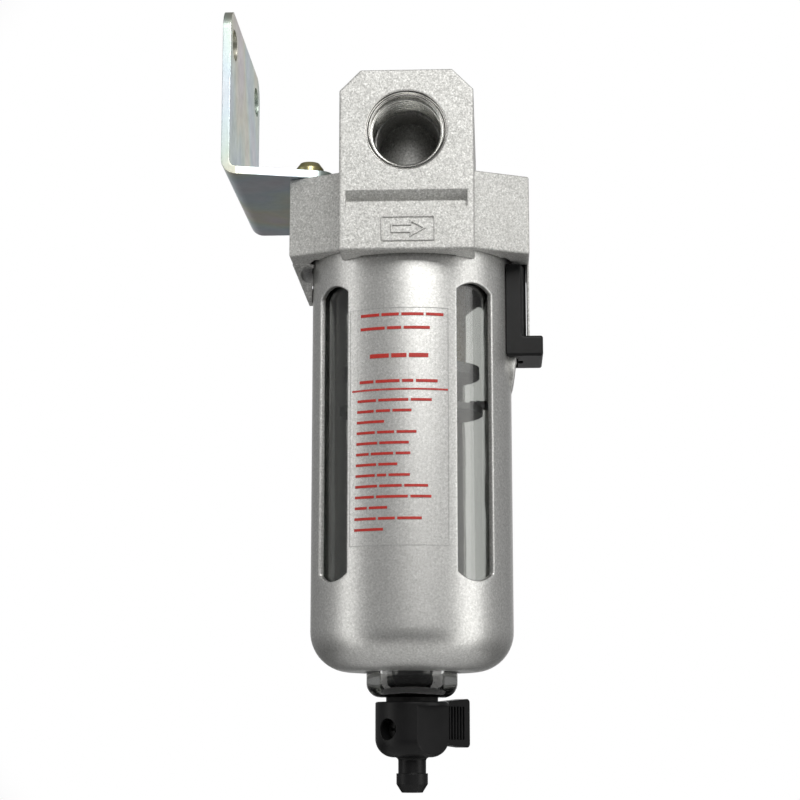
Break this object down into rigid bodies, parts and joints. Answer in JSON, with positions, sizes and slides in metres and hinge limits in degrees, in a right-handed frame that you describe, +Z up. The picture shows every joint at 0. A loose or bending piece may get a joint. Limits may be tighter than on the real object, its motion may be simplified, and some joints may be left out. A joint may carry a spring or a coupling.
{
  "type": "compressed air filter",
  "caption": "In-line compressed air filter with threaded ports, a clear bowl in a slotted metal guard with a bayonet lock, a lever drain cock with hose barb, and a wall bracket.",
  "frame": {"origin": "midway between the bracket's two wall slots, on the face that lies on the wall", "axes": "+X away from the wall towards the lock button, +Y along the ports from inlet to outlet, +Z up along the bowl axis"},
  "size_m": [0.0933, 0.0796, 0.2286],
  "materials": {
    "cast_aluminium": "silver paint over sandy die casting",
    "guard_silver": "silver metallic paint with a fine grain",
    "polycarbonate": "clear moulded plastic",
    "black_plastic": "satin moulded plastic",
    "grey_plastic": "moulded plastic",
    "filter_media": "porous sintered surface",
    "rubber": "soft matt",
    "zinc_steel": "zinc plated, faint rainbow sheen",
    "yellow_zinc": "yellow zinc plated",
    "black_steel": "blackened steel",
    "spring_steel": "bright drawn wire",
    "label_film": "clear film with red bars"
  },
  "bodies": {
    "body": {"body": "cast_aluminium", "bracket": "zinc_steel", "bracket_screws": "yellow_zinc", "deflector": "grey_plastic", "element_gasket_upper": "rubber", "element_gasket_lower": "rubber", "filter_element": "filter_media", "baffle_upper": "grey_plastic", "baffle_lower": "grey_plastic", "baffle_nut": "zinc_steel", "element_stud": "zinc_steel"},
    "bowl_guard": {"bowl_guard": "guard_silver", "bowl": "polycarbonate", "bowl_seal": "rubber", "label_film": "label_film", "drain_body": "black_plastic", "drain_collar": "rubber", "drain_gasket": "rubber", "drain_nut": "black_plastic", "lock_spring": "spring_steel"},
    "lock_button": {"lock_button": "black_plastic"},
    "drain_lever": {"drain_lever": "black_plastic", "drain_plug": "black_plastic", "plug_seals": "rubber", "lever_screw": "black_steel"}
  },
  "joints": [
    {"name": "bowl_turn", "type": "hinge", "parent": "body", "child": "bowl_guard", "pos_m": [0.0545, -0.0098, -0.0332], "axis": [0, 0, 1], "range_deg": [0, 45]},
    {"name": "lock_slide", "type": "slide", "parent": "bowl_guard", "child": "lock_button", "axis": [0, 0, -1], "range_m": [0, 0.005], "stiffness_N_per_m": 400, "springref_m": -0.003, "deforming": ["lock_spring"]},
    {"name": "drain_lever_turn", "type": "hinge", "parent": "bowl_guard", "child": "drain_lever", "pos_m": [0.0545, -0.0098, -0.2016], "axis": [0.6428, 0.766, 0], "range_deg": [0, 90]}
  ]
}
